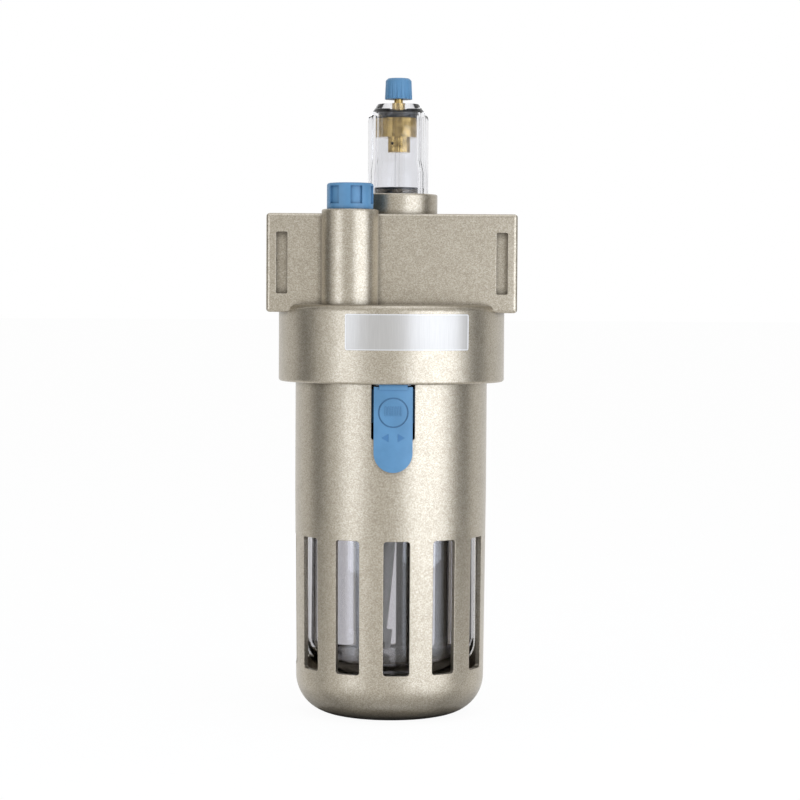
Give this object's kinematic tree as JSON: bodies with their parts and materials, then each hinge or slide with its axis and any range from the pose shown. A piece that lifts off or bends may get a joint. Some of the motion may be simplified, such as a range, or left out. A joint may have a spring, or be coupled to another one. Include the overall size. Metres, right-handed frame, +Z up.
{
  "type": "air line lubricator",
  "caption": "Modular air line lubricator: port block with sight dome, needle valve knob and fill plug, over a clear oil bowl in a slotted bayonet guard with a lock button.",
  "frame": {"origin": "centre of the guard's flat bottom, under the common axis of collar, guard and bowl", "axes": "+Z up along the bowl's axis, +X towards the outlet port along the air passage, -Y towards the lock button and fill plug"},
  "size_m": [0.09, 0.0824, 0.2315],
  "materials": {
    "champagne_paint": "satin metallic paint on a die casting",
    "champagne_paint_guard": "satin metallic paint on a drawn guard",
    "clear_bowl": "clear polycarbonate",
    "clear_dome": "clear polycarbonate",
    "blue_plastic": "moulded satin plastic",
    "brass": "turned brass",
    "seal_rubber": "moulded seal rubber",
    "spring_steel": "bright steel",
    "tube_plastic": "translucent tube",
    "strainer_plastic": "moulded plastic",
    "fitting_plastic": "moulded plastic"
  },
  "bodies": {
    "housing": {"body_casting": "champagne_paint", "sight_dome": "clear_dome", "dome_o_ring": "seal_rubber", "dome_gasket": "seal_rubber", "valve_body": "brass", "valve_seal": "seal_rubber", "siphon_tube": "tube_plastic", "siphon_strainer": "strainer_plastic", "siphon_fitting": "fitting_plastic", "check_ball": "spring_steel", "damper_retainer": "fitting_plastic", "damper_flap": "seal_rubber", "gallery_plug": "spring_steel", "drip_nozzle": "brass"},
    "bowl": {"bowl_guard": "champagne_paint_guard", "oil_bowl": "clear_bowl", "bowl_o_ring": "seal_rubber", "lock_spring": "spring_steel"},
    "lock": {"lock_button": "blue_plastic"},
    "needle_seal": {"needle_o_ring": "seal_rubber"},
    "needle": {"needle_stem": "brass", "needle_knob": "blue_plastic"},
    "plug_seal": {"fill_plug_o_ring": "seal_rubber"},
    "plug": {"fill_plug": "blue_plastic"}
  },
  "joints": [
    {"name": "bowl_turn", "type": "hinge", "parent": "housing", "child": "bowl", "pos_m": [0, 0, 0], "axis": [0, 0, 1], "range_deg": [0, 45]},
    {"name": "lock_slide", "type": "slide", "parent": "bowl", "child": "lock", "axis": [0, 0, -1], "range_m": [0, 0.004], "stiffness_N_per_m": 500, "springref_m": -0.004, "deforming": ["lock_spring"]},
    {"name": "needle_lift", "type": "slide", "parent": "housing", "child": "needle_seal", "axis": [0, 0, 1], "range_m": [-0.00075, 0.00075]},
    {"name": "needle_turn", "type": "hinge", "parent": "needle_seal", "child": "needle", "pos_m": [0.0021, 0, 0.2], "axis": [0, 0, 1], "range_deg": [-360, 360]},
    {"name": "plug_lift", "type": "slide", "parent": "housing", "child": "plug_seal", "axis": [0, 0, 1], "range_m": [0, 0.00599]},
    {"name": "plug_turn", "type": "hinge", "parent": "plug_seal", "child": "plug", "pos_m": [-0.015, -0.02087, 0.18], "axis": [0, 0, 1], "range_deg": [0, 1440]}
  ],
  "couplings": [
    {"joint": "needle_turn", "follows": "needle_lift", "rad_per_m": 8377.6},
    {"joint": "plug_turn", "follows": "plug_lift", "rad_per_m": 4188.8}
  ]
}
